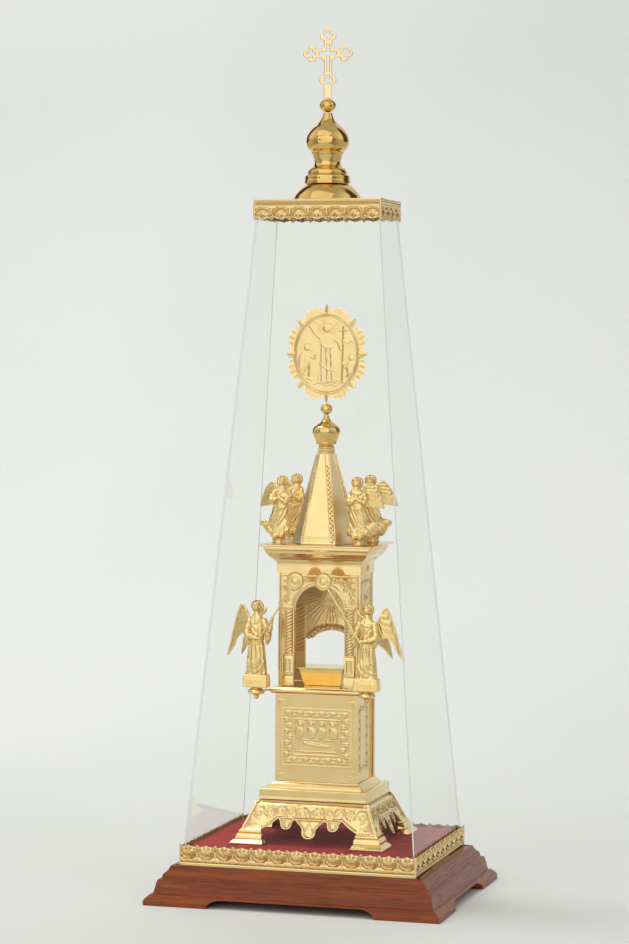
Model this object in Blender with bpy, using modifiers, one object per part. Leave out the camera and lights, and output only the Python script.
"""Altar tabernacle: a gilt brass tower under a tapered glass hood on a moulded wooden plinth.

Metres, +Z up. The origin is at the middle of the plinth's underside, the front faces -Y, and +X is
to the right of someone who faces the tabernacle.
"""

import math

import bmesh
import bpy
from mathutils import Matrix, Vector

mm = 0.001
GAP = 0.3 * mm  # between two pieces that touch

# Wooden plinth
PLINTH_X = 135 * mm  # half width at the floor
PLINTH_Y = 110.8 * mm  # half depth at the floor
PLINTH_HEIGHT = 33.3 * mm
PLINTH_WALL = 22 * mm  # thickness of the moulding at its foot
PLINTH_TOP_BOARD = 11 * mm
BRACKET_FOOT = 58 * mm  # length of a bracket foot along each side
APRON_HEIGHT = 7.7 * mm
APRON_RUN = 15 * mm  # length of the curved end of the apron

# Gilt gallery around the foot of the hood, and the same strip upside down around its top
GALLERY_X = 108.7 * mm
GALLERY_Y = 89.3 * mm
STRIP_HEIGHT = 18.6 * mm
STRIP_THICKNESS = 1.5 * mm
MOTIF = 16.85 * mm  # pitch of the palmettes
CROWN_X = 59.3 * mm
CROWN_Y = 34.0 * mm
CROWN_TOP = 623.4 * mm
CROWN_STRIP_HEIGHT = 17.0 * mm
CROWN_PLATE = 1.2 * mm

# Glass hood
GLASS = 3.0 * mm
HOOD_FOOT = (106.8 * mm, 87.4 * mm)
HOOD_HEAD = (55.8 * mm, 30.5 * mm)

# Velvet floor
BOARD_X = 102.0 * mm
BOARD_Y = 82.4 * mm
BOARD_TOP = 48.2 * mm
VELVET = 0.8 * mm

# Tabernacle: skirt, slab, cabinet
SKIRT_DEPTH_STEP = 10.5 * mm  # half width less half depth, the same at every height
FOOT_X = 71.1 * mm
SKIRT_LOW_X = 63.3 * mm
SKIRT_LOW_Z = 61.9 * mm
SKIRT_HIGH_X = 51.2 * mm
SKIRT_HIGH_Z = 88.2 * mm
SHEET = 1.2 * mm  # gilt brass sheet
SKIRT_SHEET = 2.4 * mm
CABINET_X = 38.5 * mm
CABINET_Y = 29.5 * mm
CABINET_FLOOR = 103.9 * mm
CABINET_TOP = 182.6 * mm
CABINET_SIDE_DEPTH = 42.0 * mm
DRAWER_FLANGE = 5.0 * mm
LEDGE_TOP = 188.6 * mm

# Shrine
SHRINE_X = 38.2 * mm
SHRINE_Y = 21.5 * mm
SHRINE_TOP = 290.0 * mm
ARCH_RADIUS = 22.6 * mm
ARCH_SPRING = 257.0 * mm
ARCH_FOOT = 23.6 * mm  # half width of the opening between the columns
COLUMN = 4.1 * mm  # radius of a twisted column
ROOF_X = 52.9 * mm
ROOF_Y = 40.0 * mm
ROOF_LOW = 315.2 * mm
ROOF_THICKNESS = 1.5 * mm

# Spire, its knop and the medallion
SPIRE_X = 32.0 * mm
SPIRE_Y = 26.0 * mm
SPIRE_TOP = 397.2 * mm
SPIRE_TOP_SHARE = 0.31  # top of the spire as a share of its foot
MEDALLION_X = 38.5 * mm
MEDALLION_Z = 44.3 * mm
MEDALLION_SHEET = 2.0 * mm

# Finial
CROSS_SHEET = 2.6 * mm

# Angels
SIDE_ANGEL = (51.2 * mm, -44.5 * mm, 189.6 * mm)
ROOF_ANGEL = (37.4 * mm, 22.0 * mm)
ROOF_PEDESTAL = 5.0 * mm
STAFF_RADIUS = 0.8 * mm
FAN_RADIUS = 8.2 * mm
FAN_CENTRE = (13.0 * mm, -51.6 * mm, 286.2 * mm)

for old in list(bpy.data.objects):
    bpy.data.objects.remove(old, do_unlink=True)


def new_collection(name):
    collection = bpy.data.collections.new(name)
    bpy.context.scene.collection.children.link(collection)
    return collection


parts = new_collection("altar_tabernacle")
cutters = new_collection("cutters")


def material(name, colour, metallic, roughness, see_through=0.0):
    made = bpy.data.materials.new(name)
    made.use_nodes = True
    shader = made.node_tree.nodes["Principled BSDF"]
    shader.inputs["Base Color"].default_value = (*colour, 1)
    shader.inputs["Metallic"].default_value = metallic
    shader.inputs["Roughness"].default_value = roughness
    shader.inputs["Transmission Weight"].default_value = see_through
    made.diffuse_color = (*colour, 1)
    return made


varnished_wood = material("varnished wood", (0.24, 0.08, 0.03), 0, 0.3)
burgundy_velvet = material("burgundy velvet", (0.17, 0.02, 0.03), 0, 0.9)
board = material("board", (0.3, 0.2, 0.12), 0, 0.8)
clear_glass = material("clear glass", (1, 1, 1), 0, 0.02, 1)
gilt_brass = material("gilt brass", (0.8, 0.56, 0.24), 1, 0.3)
polished_brass = material("polished gilt brass", (0.8, 0.56, 0.22), 1, 0.12)


def finish(name, mesh, look, smooth_angle=None):
    """An object of the tabernacle, from a mesh in world coordinates."""
    mesh.name = name
    mesh.materials.clear()
    mesh.materials.append(look)
    if smooth_angle:
        mesh.shade_smooth()
        mesh.set_sharp_from_angle(angle=math.radians(smooth_angle))
    made = bpy.data.objects.new(name, mesh)
    parts.objects.link(made)
    return made


def helper(mesh):
    """A hidden object that cuts another or is joined to it."""
    made = bpy.data.objects.new("cutter", mesh)
    cutters.objects.link(made)
    made.hide_render = True
    made.display_type = "WIRE"
    return made


def combine(target, mesh, operation):
    modifier = target.modifiers.new(operation.lower(), "BOOLEAN")
    modifier.operation = operation
    modifier.solver = "EXACT"
    modifier.object = helper(mesh)


def mesh_of(bm):
    mesh = bpy.data.meshes.new("mesh")
    bmesh.ops.recalc_face_normals(bm, faces=bm.faces)
    bm.to_mesh(mesh)
    bm.free()
    return mesh


def box(low, high):
    bm = bmesh.new()
    bmesh.ops.create_cube(bm, size=1)
    low = Vector(low)
    high = Vector(high)
    for vertex in bm.verts:
        share = vertex.co + Vector((0.5, 0.5, 0.5))
        vertex.co = Vector(low[i] + (high[i] - low[i]) * share[i] for i in range(3))
    return mesh_of(bm)


def tapered(foot, head, z_foot, z_head):
    """A block with four sloping sides; foot and head are (low x, high x, low y, high y)."""
    bm = bmesh.new()
    bmesh.ops.create_cube(bm, size=1)
    for vertex in bm.verts:
        edge = foot if vertex.co.z < 0 else head
        x = edge[0] if vertex.co.x < 0 else edge[1]
        y = edge[2] if vertex.co.y < 0 else edge[3]
        vertex.co = (x, y, z_foot if vertex.co.z < 0 else z_head)
    return mesh_of(bm)


def loft(rings):
    """A closed body through rings of points that all have the same number of points."""
    bm = bmesh.new()
    layers = [[bm.verts.new(point) for point in ring] for ring in rings]
    count = len(layers[0])
    for lower, upper in zip(layers, layers[1:]):
        for i in range(count):
            j = (i + 1) % count
            bm.faces.new((lower[i], lower[j], upper[j], upper[i]))
    bm.faces.new(layers[0][::-1])
    bm.faces.new(layers[-1])
    return mesh_of(bm)


def moulding(profile, depth_step):
    """A rectangular moulded block; profile runs upwards as (half width, height)."""
    rings = []
    for half, z in profile:
        deep = half - depth_step
        rings.append([(-half, -deep, z), (half, -deep, z), (half, deep, z), (-half, deep, z)])
    return loft(rings)


def turned(name, profile, look, centre=(0, 0), steps=24):
    """A turned piece; profile runs from the top down its outer side as (radius, height)."""
    mesh = bpy.data.meshes.new(name)
    points = [(0, 0, profile[0][1])]
    points += [(radius, 0, z) for radius, z in profile]
    points.append((0, 0, profile[-1][1]))
    mesh.from_pydata(points, [(i, i + 1) for i in range(len(points) - 1)], [])
    made = bpy.data.objects.new(name, mesh)
    parts.objects.link(made)
    made.location = (*centre, 0)
    screw = made.modifiers.new("turn", "SCREW")
    screw.angle = math.tau
    screw.steps = steps
    screw.render_steps = steps
    screw.use_merge_vertices = True
    screw.merge_threshold = 0.00001
    screw.use_smooth_shade = True
    mesh.materials.append(look)
    return made


def turned_mesh(profile, sides):
    """The same shape as a plain mesh, for joining to another piece; profile runs upwards."""
    rings = []
    for radius, z in profile:
        turns = [math.tau * i / sides for i in range(sides)]
        rings.append([(radius * math.cos(t), radius * math.sin(t), z) for t in turns])
    return loft(rings)


def plate(outlines, thickness, matrix):
    """A flat piece: 2D outlines, the first one outside and the others holes in it.

    matrix takes the outline's plane to its place; the thickness is centred on that plane.
    """
    curve = bpy.data.curves.new("outline", "CURVE")
    curve.dimensions = "2D"
    curve.fill_mode = "BOTH"
    curve.extrude = thickness / 2
    for outline in outlines:
        spline = curve.splines.new("POLY")
        spline.points.add(len(outline) - 1)
        for point, (u, v) in zip(spline.points, outline):
            point.co = (u, v, 0, 1)
        spline.use_cyclic_u = True
    flat = bpy.data.objects.new("outline", curve)
    bpy.context.scene.collection.objects.link(flat)
    bpy.context.view_layer.update()
    evaluated = flat.evaluated_get(bpy.context.evaluated_depsgraph_get())
    mesh = bpy.data.meshes.new_from_object(evaluated)
    bpy.data.objects.remove(flat, do_unlink=True)
    bm = bmesh.new()
    bm.from_mesh(mesh)
    bpy.data.meshes.remove(mesh)
    bmesh.ops.remove_doubles(bm, verts=bm.verts, dist=0.000001)
    bmesh.ops.transform(bm, matrix=matrix, verts=bm.verts)
    return mesh_of(bm)


def upright(origin, across=(1, 0, 0)):
    """The matrix that stands an outline up: its v is +Z and its u runs along across."""
    u = Vector(across).normalized()
    v = Vector((0, 0, 1))
    w = u.cross(v)
    turn = Matrix((u, v, w)).transposed()
    return Matrix.Translation(origin) @ turn.to_4x4()


def arc(centre, radius, start, end, count, radius_v=None):
    """Points on an arc, angles in degrees anticlockwise from +u."""
    radius_v = radius_v or radius
    points = []
    for i in range(count + 1):
        turn = math.radians(start + (end - start) * i / count)
        points.append((centre[0] + radius * math.cos(turn), centre[1] + radius_v * math.sin(turn)))
    return points


def moved(mesh, matrix):
    mesh.transform(matrix)
    if matrix.determinant() < 0:
        mesh.flip_normals()
    return mesh


# ---- Wooden plinth -------------------------------------------------------------------------


def plinth_profile():
    """From the floor up: foot, bead, cove, sloping band, quirk and nosing, in mm."""
    insets = [(0, 0), (0, 3.6), (0.4, 4.6), (1.8, 6.6), (4.2, 8.6), (4.6, 9.3), (7.0, 9.8)]
    insets += [(7.6, 11.4), (8.6, 15.2), (9.6, 19.4), (10.4, 21.9), (12.6, 22.3), (13.4, 23.2)]
    insets += [(13.6, 25.2), (15.2, 27.0), (17.6, 29.4), (18.6, 31.4), (19.5, 33.3)]
    return [(PLINTH_X - inset * mm, z * mm) for inset, z in insets]


def apron_outline(half):
    """The arched gap under one side, between its two bracket feet."""
    reach = half - BRACKET_FOOT
    end = arc((reach, 0), APRON_RUN, 0, 90, 5, APRON_HEIGHT)
    shape = [(u - APRON_RUN, v) for u, v in end]
    below = -2 * mm
    return [(-reach, below), (reach, below)] + shape + [(-u, v) for u, v in reversed(shape)]


def make_plinth():
    step = PLINTH_X - PLINTH_Y
    plinth = finish("plinth", moulding(plinth_profile(), step), varnished_wood, 40)
    hollow_x = PLINTH_X - PLINTH_WALL
    hollow_y = PLINTH_Y - PLINTH_WALL
    hollow_top = PLINTH_HEIGHT - PLINTH_TOP_BOARD
    hollow = box((-hollow_x, -hollow_y, -2 * mm), (hollow_x, hollow_y, hollow_top))
    combine(plinth, hollow, "DIFFERENCE")
    long = 2.4 * PLINTH_X
    front_to_back = plate([apron_outline(PLINTH_X)], long, upright((0, 0, 0)))
    combine(plinth, front_to_back, "DIFFERENCE")
    side_to_side = plate([apron_outline(PLINTH_Y)], long, upright((0, 0, 0), (0, 1, 0)))
    combine(plinth, side_to_side, "DIFFERENCE")


# ---- Hood: velvet floor, gallery, panes and crown ------------------------------------------


def make_floor():
    low = PLINTH_HEIGHT + GAP
    finish("floor_board", box((-BOARD_X, -BOARD_Y, low), (BOARD_X, BOARD_Y, BOARD_TOP)), board)
    low = BOARD_TOP + GAP
    velvet = box((-BOARD_X, -BOARD_Y, low), (BOARD_X, BOARD_Y, low + VELVET))
    finish("velvet_cover", velvet, burgundy_velvet)


def palmette_outline(half, height):
    """A strip with its lower edge at 0 and pointed palmettes and small lobes along its top."""
    shares = [(0, 1.0), (0.3, 0.86), (0.5, 0.95), (0.7, 0.86)]
    count = round(2 * half / MOTIF)
    pitch = 2 * half / count
    points = [(-half, 0), (half, 0)]
    edge = [(-half, 0.95 * height)]
    for i in range(count):
        for share, rise in shares[2:] + shares[:2]:
            edge.append((-half + (i + (share + 0.5) % 1) * pitch, rise * height))
    edge.append((half, 0.95 * height))
    return points + edge[:0:-1]


def make_strips(names, half_x, half_y, z, height, up):
    """Four strips around the hood; up is 1 for a gallery and -1 for the hanging crown."""
    side_half = half_y - STRIP_THICKNESS - GAP
    for name, sign in ((names[0], -1), (names[1], 1)):
        flat = Matrix.Diagonal((1, up, 1, 1))
        place = upright((0, sign * (half_y - STRIP_THICKNESS / 2), z)) @ flat
        strip = plate([palmette_outline(half_x, height)], STRIP_THICKNESS, place)
        finish(name, strip, gilt_brass)
    for name, sign in ((names[2], -1), (names[3], 1)):
        flat = Matrix.Diagonal((1, up, 1, 1))
        place = upright((sign * (half_x - STRIP_THICKNESS / 2), 0, z), (0, 1, 0)) @ flat
        strip = plate([palmette_outline(side_half, height)], STRIP_THICKNESS, place)
        finish(name, strip, gilt_brass)


def make_panes():
    """Butt-jointed panes: the front and back ones cover the edges of the side ones."""
    fx, fy = HOOD_FOOT
    hx, hy = HOOD_HEAD
    low = PLINTH_HEIGHT + GAP
    high = CROWN_TOP
    for name, sign in (("glass_front", -1), ("glass_back", 1)):
        foot_y = sorted((sign * fy, sign * (fy - GLASS)))
        head_y = sorted((sign * hy, sign * (hy - GLASS)))
        pane = tapered((-fx, fx, *foot_y), (-hx, hx, *head_y), low, high)
        finish(name, pane, clear_glass)
    inner_foot = fy - GLASS - GAP
    inner_head = hy - GLASS - GAP
    for name, sign in (("glass_left", -1), ("glass_right", 1)):
        foot_x = sorted((sign * fx, sign * (fx - GLASS)))
        head_x = sorted((sign * hx, sign * (hx - GLASS)))
        foot = (*foot_x, -inner_foot, inner_foot)
        head = (*head_x, -inner_head, inner_head)
        finish(name, tapered(foot, head, low, high), clear_glass)


def make_hood():
    low = PLINTH_HEIGHT + GAP
    gallery = ["gallery_front", "gallery_back", "gallery_left", "gallery_right"]
    make_strips(gallery, GALLERY_X, GALLERY_Y, low, STRIP_HEIGHT, 1)
    make_panes()
    crown = ["crown_front", "crown_back", "crown_left", "crown_right"]
    make_strips(crown, CROWN_X, CROWN_Y, CROWN_TOP, CROWN_STRIP_HEIGHT, -1)
    low = CROWN_TOP + GAP
    cap = box((-CROWN_X, -CROWN_Y, low), (CROWN_X, CROWN_Y, low + CROWN_PLATE))
    finish("crown_plate", cap, gilt_brass)


# ---- Finial --------------------------------------------------------------------------------


def scaled(profile):
    return [(radius * mm, z * mm) for radius, z in profile]


def half_circle(radius, centre_z, count, squash=1.0):
    """Profile of a ball from the top down; squash flattens it and the poles are left flat."""
    points = []
    for i in range(count + 1):
        turn = math.radians(78 - 156 * i / count)
        points.append((radius * math.cos(turn), centre_z + squash * radius * math.sin(turn)))
    return points


def trefoil(direction, length):
    """Three buds at the end of a bar that points along direction, anticlockwise, in mm."""
    bud = 3.6
    turn = Matrix.Rotation(math.radians(direction), 2)
    points = []
    for facing, x, y in ((-90, length, -3.9), (0, length + 4.5, 0), (90, length, 3.9)):
        for u, v in arc((x, y), bud, facing - 95, facing + 95, 5):
            points.append(tuple(turn @ Vector((u, v))))
    return points


def plus(x, y, wide, low, high, arm):
    """A cross-shaped piercing around (x, y): its half width, its reach down and up, in mm."""
    corners = [(arm, high), (-arm, high), (-arm, arm), (-wide, arm), (-wide, -arm), (-arm, -arm)]
    corners += [(-arm, low), (arm, low), (arm, -arm), (wide, -arm), (wide, arm), (arm, arm)]
    return [((x + u) * mm, (y + v) * mm) for u, v in corners]


def cross_outlines():
    """Budded cross: bar ends with three buds, a small pair lower on the shaft, and piercings."""
    bar = 3.5
    square = 5.6
    reach = 15.2
    points = trefoil(0, reach) + [(square, bar), (square, square), (bar, square)]
    points += trefoil(90, reach) + [(-bar, square), (-square, square), (-square, bar)]
    points += trefoil(180, reach)
    low_bud = -23.6
    foot = -40.0
    left = [(-square, -bar), (-square, -square), (-bar, -square)]
    left += arc((-4.2, low_bud), 3.2, 100, 260, 5) + [(-bar, foot)]
    points += left + [(-u, v) for u, v in reversed(left)]
    outline = [(u * mm, v * mm) for u, v in points]
    ends = [(reach + 1.0, 0), (0, reach + 1.0), (-reach - 1.0, 0)]
    holes = [plus(x, y, 4.4, -4.4, 4.4, 1.3) for x, y in ends]
    holes.append(plus(0, 0, 8.2, -16.8, 8.2, 1.3))
    holes.append(plus(0, low_bud, 4.4, -4.6, 4.2, 1.3))
    return [outline] + holes


def make_finial():
    top = CROWN_TOP + 2 * GAP + CROWN_PLATE
    foot = [(19.0, 639.2), (21.2, 638.2), (25.8, 633.8), (29.2, 629.6), (31.0, top / mm)]
    turned("finial_foot", scaled(foot), polished_brass)
    collar = [(13.6, 665.6), (11.7, 659.8), (11.9, 657.2), (13.4, 655.0), (16.3, 652.5)]
    collar += [(17.6, 650.4), (17.4, 647.6), (20.0, 646.8), (20.2, 643.4), (20.6, 639.5)]
    turned("finial_collar", scaled(collar), polished_brass, steps=16)
    onion = [(3.8, 703.2), (4.5, 701.4), (6.8, 698.0), (9.6, 694.6), (13.1, 691.0)]
    onion += [(16.4, 687.4), (18.8, 683.8), (19.4, 680.3), (18.8, 676.6), (17.2, 673.0)]
    onion += [(14.9, 669.4), (14.3, 667.6), (14.0, 665.9)]
    turned("finial_onion", scaled(onion), polished_brass, steps=16)
    ball_profile = half_circle(7.4 * mm, 709.7 * mm, 6, 0.84)
    turned("finial_ball", ball_profile, polished_brass, steps=16)
    flat = plate(cross_outlines(), CROSS_SHEET, upright((0, 0, 756.0 * mm)))
    finish("finial_cross", flat, polished_brass)


# ---- Skirt, slab, cabinet and drawer -------------------------------------------------------


def skirt_outline(low_half, high_half, height, share):
    """Half of one skirt plate seen square on: foot, arch and pendants, as (u, v) with v up.

    low_half and high_half are the plate's half widths, and share shortens the arches of a
    narrower plate.
    """
    foot = low_half - 19.2 * mm
    cusp = 29.8 * mm * share
    inner_cusp = 13.7 * mm * share
    small = 5.2 * mm * share
    points = [(high_half, height), (low_half, 0), (foot, 0)]
    for i in range(4):
        share_up = i / 3
        rise = 1.8 + 10.4 * (0.7 * share_up + 0.3 * share_up**2)
        points.append((foot + (cusp - foot) * share_up, rise * mm))
    middle = (cusp + inner_cusp) / 2
    points += arc((middle, 7.4 * mm), small, 20, -200, 7)
    points.append((inner_cusp, 11.2 * mm))
    points.append((10.2 * mm * share, 5.6 * mm))
    points += arc((0, -0.4 * mm), 7.0 * mm * share, 25, -90, 5, 5.2 * mm)
    return points


def mirrored_outline(half):
    """The whole outline from its right half, which ends on the centre line."""
    return half + [(-u, v) for u, v in reversed(half[:-1])]


def mitre_wedge(offset):
    """The space that one side may fill between the two mitre planes of its corners.

    At a distance d in front of the axis it reaches d + offset to either side.
    """
    far = 100 * mm
    start = max(0.0, -offset)
    near = max(start + offset, 0.01 * mm)
    outline = [(-near, -start), (-far - offset, -far), (far + offset, -far), (near, -start)]
    return plate([outline], 80 * mm, Matrix.Translation((0, 0, 70 * mm)))


def make_skirt_side(name, angle, half_low, half_high, away, share):
    """One sloping plate with its two half feet; away is its distance from the axis."""
    turn = Matrix.Rotation(math.radians(angle), 4, "Z")
    height = SKIRT_HIGH_Z - SKIRT_LOW_Z
    lean = SKIRT_LOW_X - SKIRT_HIGH_X
    slope = math.hypot(height, lean)
    outline = mirrored_outline(skirt_outline(half_low, half_high, slope, share))
    tilt = Matrix.Rotation(-math.atan2(lean, height), 4, "X")
    inward = Matrix.Translation((0, 0, -SKIRT_SHEET / 2))
    place = Matrix.Translation((0, -away, SKIRT_LOW_Z)) @ tilt @ upright((0, 0, 0)) @ inward
    side = finish(name, moved(plate([outline], SKIRT_SHEET, place), turn), gilt_brass)
    tiers = [(7.8, 0), (7.8, 1.2), (4.1, 4.3), (3.5, 4.9), (1.7, 9.4), (1.3, 9.9), (0.1, 12.6)]
    for sign in (-1, 1):
        rings = []
        for out, z in tiers:
            corner = half_low + out * mm
            front = away + out * mm
            inside = half_low - 19.2 * mm - 0.45 * out * mm
            back = away - 3.5 * mm
            ring = [(inside, -front), (corner, -front), (corner, -back), (inside, -back)]
            rings.append([(sign * x, y, SKIRT_LOW_Z - (12.3 - z) * mm) for x, y in ring])
        combine(side, moved(loft(rings), turn), "UNION")
    combine(side, moved(mitre_wedge(half_low - away - GAP), turn), "INTERSECT")


def make_skirt():
    deep_low = SKIRT_LOW_X - SKIRT_DEPTH_STEP
    deep_high = SKIRT_HIGH_X - SKIRT_DEPTH_STEP
    narrow = 0.77
    for name, angle in (("skirt_front", 0), ("skirt_back", 180)):
        make_skirt_side(name, angle, SKIRT_LOW_X, SKIRT_HIGH_X, deep_low, 1.0)
    for name, angle in (("skirt_left", -90), ("skirt_right", 90)):
        make_skirt_side(name, angle, deep_low, deep_high, SKIRT_LOW_X, narrow)


def make_slab():
    profile = [(51.0, 88.6), (50.2, 89.6), (49.8, 90.2), (49.8, 97.2), (49.2, 97.9), (43.2, 97.9)]
    profile += [(42.9, 98.6), (41.9, 100.6), (40.4, 102.2), (39.6, 103.0), (39.4, 103.6)]
    finish("slab", moulding([(x * mm, z * mm) for x, z in profile], SKIRT_DEPTH_STEP), gilt_brass)


def make_cabinet():
    low = CABINET_FLOOR
    front = box((-CABINET_X, -CABINET_Y, low), (CABINET_X, -CABINET_Y + SHEET, CABINET_TOP))
    finish("cabinet_front", front, gilt_brass)
    start = -CABINET_Y + SHEET + GAP
    end = -CABINET_Y + CABINET_SIDE_DEPTH
    for name, sign in (("cabinet_left", -1), ("cabinet_right", 1)):
        near, far = sorted((sign * CABINET_X, sign * (CABINET_X - SHEET)))
        finish(name, box((near, start, low), (far, end, CABINET_TOP)), gilt_brass)
    drawer_x = CABINET_X - SHEET - 1.4 * mm
    drawer_top = CABINET_TOP - 4 * mm
    inner = CABINET_Y - DRAWER_FLANGE
    rear = box((-CABINET_X, inner, low), (CABINET_X, CABINET_Y, CABINET_TOP - GAP))
    drawer = finish("drawer", rear, gilt_brass)
    tray_start = start + 1.5 * mm
    tray = box((-drawer_x, tray_start, low), (drawer_x, inner + 1 * mm, drawer_top))
    combine(drawer, tray, "UNION")
    hollow_low = (-drawer_x + SHEET, tray_start + SHEET, low + SHEET)
    hollow_high = (drawer_x - SHEET, CABINET_Y - SHEET, drawer_top + 0.1 * mm)
    combine(drawer, box(hollow_low, hollow_high), "DIFFERENCE")
    profile = [(39.4, 182.9), (41.4, 183.6), (42.2, 184.6), (42.4, 186.2), (41.4, 187.4)]
    profile += [(40.2, 188.0), (40.0, 188.6)]
    step = CABINET_X - CABINET_Y
    finish("ledge", moulding([(x * mm, z * mm) for x, z in profile], step), gilt_brass)


# ---- Shrine, casket and roof ---------------------------------------------------------------


def make_shrine_front():
    low = LEDGE_TOP + GAP
    right = [(ARCH_FOOT, low), (SHRINE_X, low), (SHRINE_X, SHRINE_TOP)]
    left = [(-SHRINE_X, SHRINE_TOP), (-SHRINE_X, low), (-ARCH_FOOT, low)]
    wall = right + left + [(-ARCH_FOOT, ARCH_SPRING)]
    wall += arc((0, ARCH_SPRING), ARCH_RADIUS, 180, 0, 16) + [(ARCH_FOOT, ARCH_SPRING)]
    place = upright((0, -SHRINE_Y + SHEET / 2, 0))
    front = finish("shrine_front", plate([wall], SHEET, place), gilt_brass)
    middle = ARCH_FOOT + 0.4 * mm + COLUMN
    pedestal = (4.5, 2.0, 198.6, 216.4)
    base = (5.0, 2.6, 189.2, 198.2)
    capital = (4.7, 2.4, 257.4, 261.0)
    for sign in (-1, 1):
        shaft = turned_mesh([(COLUMN, 217 * mm), (COLUMN, 258.2 * mm)], 12)
        shaft.transform(Matrix.Diagonal((1, 0.62, 1, 1)))
        shaft.transform(Matrix.Translation((sign * middle, -SHRINE_Y, 0)))
        combine(front, shaft, "UNION")
        for half, out, z_low, z_high in (pedestal, base, capital):
            block_low = (sign * middle - half * mm, -SHRINE_Y - out * mm, z_low * mm)
            block_high = (sign * middle + half * mm, -SHRINE_Y + 0.4 * mm, z_high * mm)
            combine(front, box(block_low, block_high), "UNION")


def make_shrine_back():
    low = LEDGE_TOP + GAP
    half = 25.0 * mm
    shoulder = 228.2 * mm
    crown = 235.8 * mm
    arch_half = 18.0 * mm
    radius = (arch_half**2 + (crown - shoulder) ** 2) / (2 * (crown - shoulder))
    reach = math.degrees(math.asin(arch_half / radius))
    curve = arc((0, crown - radius), radius, 90 + reach, 90 - reach, 10)
    outline = [(half, low), (SHRINE_X, low), (SHRINE_X, SHRINE_TOP), (-SHRINE_X, SHRINE_TOP)]
    outline += [(-SHRINE_X, low), (-half, low), (-half, shoulder)] + curve + [(half, shoulder)]
    place = upright((0, SHRINE_Y - SHEET / 2, 0))
    finish("shrine_back", plate([outline], SHEET, place), gilt_brass)


def make_shrine_sides():
    reach = SHRINE_Y - SHEET - GAP
    for name, sign in (("shrine_left", -1), ("shrine_right", 1)):
        near, far = sorted((sign * SHRINE_X, sign * (SHRINE_X - SHEET)))
        side = box((near, -reach, LEDGE_TOP + GAP), (far, reach, SHRINE_TOP))
        finish(name, side, gilt_brass)


def make_casket():
    low = LEDGE_TOP + GAP
    rim = 203.6 * mm
    foot = (16.6 * mm, 11.0 * mm)
    head = (20.4 * mm, 14.6 * mm)

    def block(shrink, z_low, z_high, grow):
        (fx, fy), (hx, hy) = foot, head
        bottom = (-fx + shrink, fx - shrink, -fy + shrink, fy - shrink)
        top = (-hx + shrink - grow, hx - shrink + grow, -hy + shrink - grow, hy - shrink + grow)
        return tapered(bottom, top, z_low, z_high)

    casket = finish("casket", block(0, low, rim, 0), gilt_brass)
    combine(casket, block(SHEET, low + SHEET, rim + 0.1 * mm, 0), "DIFFERENCE")
    low = rim + GAP
    lid_x = head[0] + 0.9 * mm
    lid_y = head[1] + 0.9 * mm
    finish("casket_lid", box((-lid_x, -lid_y, low), (lid_x, lid_y, low + SHEET)), gilt_brass)


def make_roof():
    profile = [(39.2, 290.3), (39.2, 298.9), (39.6, 300.6), (40.9, 301.0), (41.2, 302.8), (41.8, 303.3)]
    profile += [(43.0, 304.4), (45.2, 306.3), (46.9, 308.4), (47.6, 308.9), (48.0, 311.0)]
    profile += [(48.4, 311.5), (48.8, 312.2), (49.0, 314.9)]
    step = SHRINE_X - SHRINE_Y
    finish("cornice", moulding([(x * mm, z * mm) for x, z in profile], step), gilt_brass)
    high = ROOF_LOW + ROOF_THICKNESS
    finish("roof_plate", box((-ROOF_X, -ROOF_Y, ROOF_LOW), (ROOF_X, ROOF_Y, high)), gilt_brass)


# ---- Spire, knop and medallion -------------------------------------------------------------


def make_spire():
    low = ROOF_LOW + ROOF_THICKNESS + GAP
    rings = []
    for share, z in ((1, low), (1, low + 1.2 * mm), (SPIRE_TOP_SHARE, SPIRE_TOP)):
        corners = [math.radians(60 * i) for i in range(6)]
        wide = SPIRE_X * share
        deep = SPIRE_Y / math.sin(math.radians(60)) * share
        rings.append([(wide * math.cos(t), deep * math.sin(t), z) for t in corners])
    finish("spire", loft(rings), gilt_brass)
    collar = [(6.6, 404.6), (7.6, 403.2), (7.9, 401.4), (7.9, 399.4), (8.6, 398.2), (8.6, 397.5)]
    turned("spire_collar", scaled(collar), gilt_brass, steps=16)
    onion = [(2.6, 432.0), (3.0, 429.2), (5.0, 426.6), (9.2, 423.6), (12.0, 420.6), (12.7, 417.8)]
    onion += [(12.0, 413.8), (10.2, 409.8), (9.2, 407.0), (8.2, 405.4), (7.0, 404.9)]
    turned("spire_onion", scaled(onion), polished_brass, steps=14)
    turned("spire_ball", half_circle(5.3 * mm, 437.6 * mm, 6), polished_brass, steps=12)


def medallion_outline():
    """An oval sunburst: eight pointed tips between eight fluted lobes."""
    steps = 64
    points = []
    for i in range(steps):
        turn = math.tau * i / steps
        wave = math.cos(8 * turn)
        tip = max(0.0, wave) ** 3
        lobe = max(0.0, -wave)
        notch = 1 - abs(math.cos(8 * turn))
        share = 0.885 + 0.115 * tip + 0.05 * lobe - 0.035 * notch
        points.append((MEDALLION_X * share * math.sin(turn), MEDALLION_Z * share * math.cos(turn)))
    return points


def make_medallion():
    centre = 443.2 * mm + MEDALLION_Z
    place = upright((0, 0, centre))
    finish("medallion", plate([medallion_outline()], MEDALLION_SHEET, place), gilt_brass)


# ---- Angels --------------------------------------------------------------------------------


def draped(rings, sides, folds, turn=0.0):
    """A robe: each ring is (height, centre x, centre y, half width, half depth, fold depth)."""
    layers = []
    for z, x, y, wide, deep, fold in rings:
        ring = []
        for i in range(sides):
            angle = math.tau * i / sides
            swell = 1 + fold * math.cos(folds * angle + turn)
            ring.append((x + wide * swell * math.cos(angle), y + deep * swell * math.sin(angle), z))
        layers.append([tuple(c * mm for c in point) for point in ring])
    return loft(layers)


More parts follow.
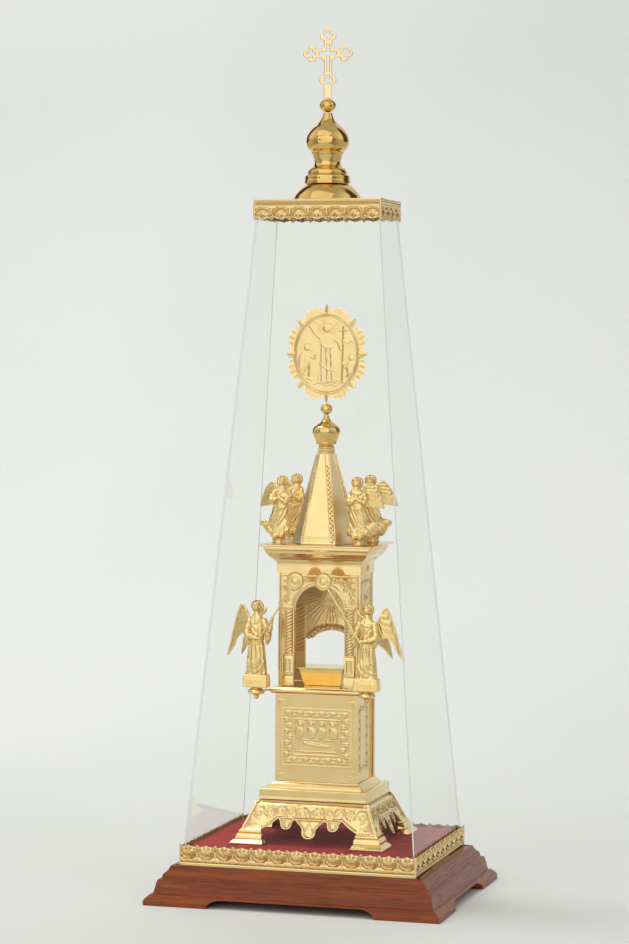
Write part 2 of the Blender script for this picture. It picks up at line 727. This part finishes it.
def limb(start, end, start_radius, end_radius, sides=5):
    """A sleeve or a forearm between two points, in mm."""
    start = Vector(start) * mm
    end = Vector(end) * mm
    length = (end - start).length
    mesh = turned_mesh([(start_radius * mm, 0), (end_radius * mm, length)], sides)
    turn = (end - start).to_track_quat("Z", "Y").to_matrix().to_4x4()
    mesh.transform(Matrix.Translation(start) @ turn)
    return mesh


def ball(centre, radii):
    bm = bmesh.new()
    bmesh.ops.create_icosphere(bm, subdivisions=2, radius=1)
    mesh = mesh_of(bm)
    stretch = Matrix.Diagonal((*(radius * mm for radius in radii), 1))
    mesh.transform(Matrix.Translation(Vector(centre) * mm) @ stretch)
    return mesh


def disc(centre, radius, thickness, sides=10):
    """A flat round plate that faces -Y, in mm."""
    half = thickness / 2 * mm
    mesh = turned_mesh([(radius * mm, -half), (radius * mm, half)], sides)
    face_front = Matrix.Rotation(math.radians(90), 4, "X")
    mesh.transform(Matrix.Translation(Vector(centre) * mm) @ face_front)
    return mesh


def wing(root, along, outline, thickness=1.7):
    """A flat wing: outline is in mm, u runs away from the back along the given direction."""
    place = upright(Vector(root) * mm, along)
    return plate([[(u * mm, v * mm) for u, v in outline]], thickness * mm, place)


def make_angel(name, matrix, robe, extras):
    angel = finish(name, moved(robe, matrix), gilt_brass, 50)
    for mesh in extras:
        combine(angel, moved(mesh, matrix), "UNION")
    return angel


def side_angel_pieces():
    """Standing figure, z from the foot of its block; its staff hand is on the +X side."""
    robe = [(10.8, 0, 0, 10.1, 5.2, 0.04), (24, 0, -0.2, 9.8, 5.2, 0.09), (38, 0.2, -0.3, 8.6, 4.8, 0.07)]
    robe += [(46, 0.2, 0, 7.4, 4.4, 0.03), (61, 0, 0.2, 7.4, 4.2, 0.0), (64.6, 0, 0.2, 4.6, 3.2, 0.0)]
    robe += [(68.2, 0, 0, 2.2, 2.2, 0.0)]
    block_foot = (-11.4 * mm, 11.4 * mm, -6.2 * mm, 6.2 * mm)
    block_head = (-10.8 * mm, 10.8 * mm, -5.6 * mm, 5.6 * mm)
    block = tapered(block_foot, block_head, 0, 11.4 * mm)
    near_wing = [(0, 49), (4, 60), (8.5, 70), (11.5, 73.6), (14, 73), (17.5, 66), (22, 52), (25.5, 38)]
    near_wing += [(28.5, 27), (26.5, 27), (22, 34), (18, 42), (12.5, 47), (6, 44.5)]
    far_wing = [(0, 56), (6, 58), (12, 54), (17, 44), (21, 28), (19.5, 27.5), (13, 36), (4, 44)]
    extras = [block]
    extras.append(ball((0, -0.6, 71.6), (3.3, 3.5, 4.2)))
    extras.append(disc((0, 2.2, 72), 6.0, 1.4))
    extras.append(wing((-3.5, 3.4, 0), (-0.97, 0.25, 0), near_wing))
    extras.append(wing((-2.5, 4.2, 0), (-0.82, 0.57, 0), far_wing))
    extras.append(limb((6.2, 0, 61), (11.4, -2.6, 47.5), 3.2, 3.6))
    extras.append(limb((10.6, -2.6, 46), (15.6, -4.4, 60), 4.0, 2.2))
    extras.append(limb((-6.2, 0, 61), (-8.2, -2.6, 47.5), 3.2, 3.4))
    extras.append(limb((-8.2, -2.4, 46.5), (2.6, -5.4, 44), 3.2, 1.9))
    return draped(robe, 10, 4), extras


def make_side_angels():
    knob = [(4.4, 189.3), (5.2, 188.4), (7.6, 186.6), (7.8, 185.2), (5.6, 183.4), (2.6, 182.2)]
    knob += [(2.2, 181.4), (2.6, 180.2), (1.4, 179.0)]
    for name, sign in (("left", -1), ("right", 1)):
        x, y, z = SIDE_ANGEL
        flip = Matrix.Diagonal((-sign, 1, 1, 1))
        place = Matrix.Translation((sign * x, y, z)) @ flip
        robe, extras = side_angel_pieces()
        make_angel(f"side_angel_{name}", place, robe, extras)
        turned(f"bracket_knob_{name}", scaled(knob), gilt_brass, (sign * x, y), 12)
        make_fan(f"fan_{name}", sign)
        make_bracket_arm(f"bracket_arm_{name}", sign)


def make_fan(name, sign):
    """A round fan on a long staff, held across the body."""
    x, y, z = FAN_CENTRE
    foot = Vector((sign * 47.0 * mm, y, 232.4 * mm))
    head = Vector((sign * x, y, z))
    dome = [(FAN_RADIUS, 0), (FAN_RADIUS, 1.0 * mm)]
    dome += [(FAN_RADIUS * 0.8, 1.8 * mm), (FAN_RADIUS * 0.35, 3.0 * mm)]
    face = turned_mesh(dome, 16)
    face.transform(Matrix.Translation(head) @ Matrix.Rotation(math.radians(90), 4, "X"))
    fan = finish(name, face, gilt_brass, 40)
    overlap = (head - foot).normalized() * (FAN_RADIUS - 1.5 * mm)
    rod_top = head - overlap
    staff = limb(foot / mm, rod_top / mm, STAFF_RADIUS / mm, STAFF_RADIUS / mm)
    staff.transform(Matrix.Translation((0, -0.7 * mm, 0)))
    combine(fan, staff, "UNION")


def make_bracket_arm(name, sign):
    """The thin arm that carries a side angel on the ledge."""
    x, y, _ = SIDE_ANGEL
    start = (sign * 42.9, -31.4, 185.8)
    knee = (sign * 45.6, -33.4, 185.8)
    end = (sign * (x / mm - 4.1), y / mm + 7.8, 185.8)
    curve = bpy.data.curves.new(name, "CURVE")
    curve.dimensions = "3D"
    curve.bevel_depth = 0.9 * mm
    curve.bevel_resolution = 1
    curve.use_fill_caps = True
    spline = curve.splines.new("POLY")
    spline.points.add(2)
    for point, place in zip(spline.points, (start, knee, end)):
        point.co = (*(c * mm for c in place), 1)
    curve.materials.append(gilt_brass)
    arm = bpy.data.objects.new(name, curve)
    parts.objects.link(arm)


def roof_angel_pieces():
    """Hovering figure over a curl of cloud that trails outwards; +X is towards the spire."""
    cloud = [(0, 0, 0, 5.4, 4.8, 0.0), (4, 0, 0, 10.2, 6.8, 0.06), (11, 0, 0, 11.4, 7.4, 0.08)]
    cloud += [(18, 0.4, -0.4, 9.8, 6.4, 0.08), (31, 2.0, -0.6, 7.8, 5.4, 0.05)]
    cloud += [(43.5, 2.8, 0.2, 7.4, 4.8, 0.0), (47.6, 2.8, 0, 2.6, 2.4, 0.0)]
    near_wing = [(0, 30), (1, 42), (4, 49), (8, 50.5), (13, 46), (17, 39), (20.5, 28), (15, 26.5)]
    near_wing += [(8, 29)]
    far_wing = [(0, 34), (4, 44), (8, 48), (12, 43), (15, 33), (13, 28), (7, 29)]
    extras = [ball((-12.5, 0.2, 12.6), (6.4, 4.6, 5.2)), ball((2.6, -0.8, 49.8), (3.9, 3.9, 4.4))]
    extras.append(disc((2.6, 2.0, 50.2), 5.8, 1.3))
    extras.append(wing((-1.4, 3.0, 0), (-0.95, 0.3, 0), near_wing, 1.6))
    extras.append(wing((0, 3.6, 0), (-0.4, 0.92, 0), far_wing, 1.6))
    extras.append(limb((6.4, 0, 41), (7.6, -4.6, 33.0), 3.0, 2.6))
    extras.append(limb((7.4, -4.0, 32.6), (1.6, -7.4, 37.0), 2.4, 1.7))
    extras.append(limb((-4.0, 0, 41), (-6.0, -4.4, 33.5), 3.0, 2.6))
    extras.append(limb((-5.6, -4.0, 33.0), (0.6, -7.4, 36.0), 2.4, 1.7))
    return draped(cloud, 10, 4), extras


def make_roof_angels():
    low = ROOF_LOW + ROOF_THICKNESS + GAP
    top = low + ROOF_PEDESTAL
    drum = [(6.2 * mm, top), (6.6 * mm, top - 0.8 * mm), (6.6 * mm, low + 0.8 * mm), (6.2 * mm, low)]
    corners = [("front_left", -1, -1), ("front_right", 1, -1), ("back_left", -1, 1), ("back_right", 1, 1)]
    for name, side, deep in corners:
        x = side * ROOF_ANGEL[0]
        y = deep * ROOF_ANGEL[1]
        turned(f"roof_pedestal_{name}", drum, gilt_brass, (x, y), 12)
        place = Matrix.Translation((x, y, top + GAP)) @ Matrix.Diagonal((-side, 1, 1, 1))
        robe, extras = roof_angel_pieces()
        make_angel(f"roof_angel_{name}", place, robe, extras)


make_plinth()
make_floor()
make_hood()
make_finial()
make_skirt()
make_slab()
make_cabinet()
make_shrine_front()
make_shrine_back()
make_shrine_sides()
make_casket()
make_roof()
make_spire()
make_medallion()
make_side_angels()
make_roof_angels()
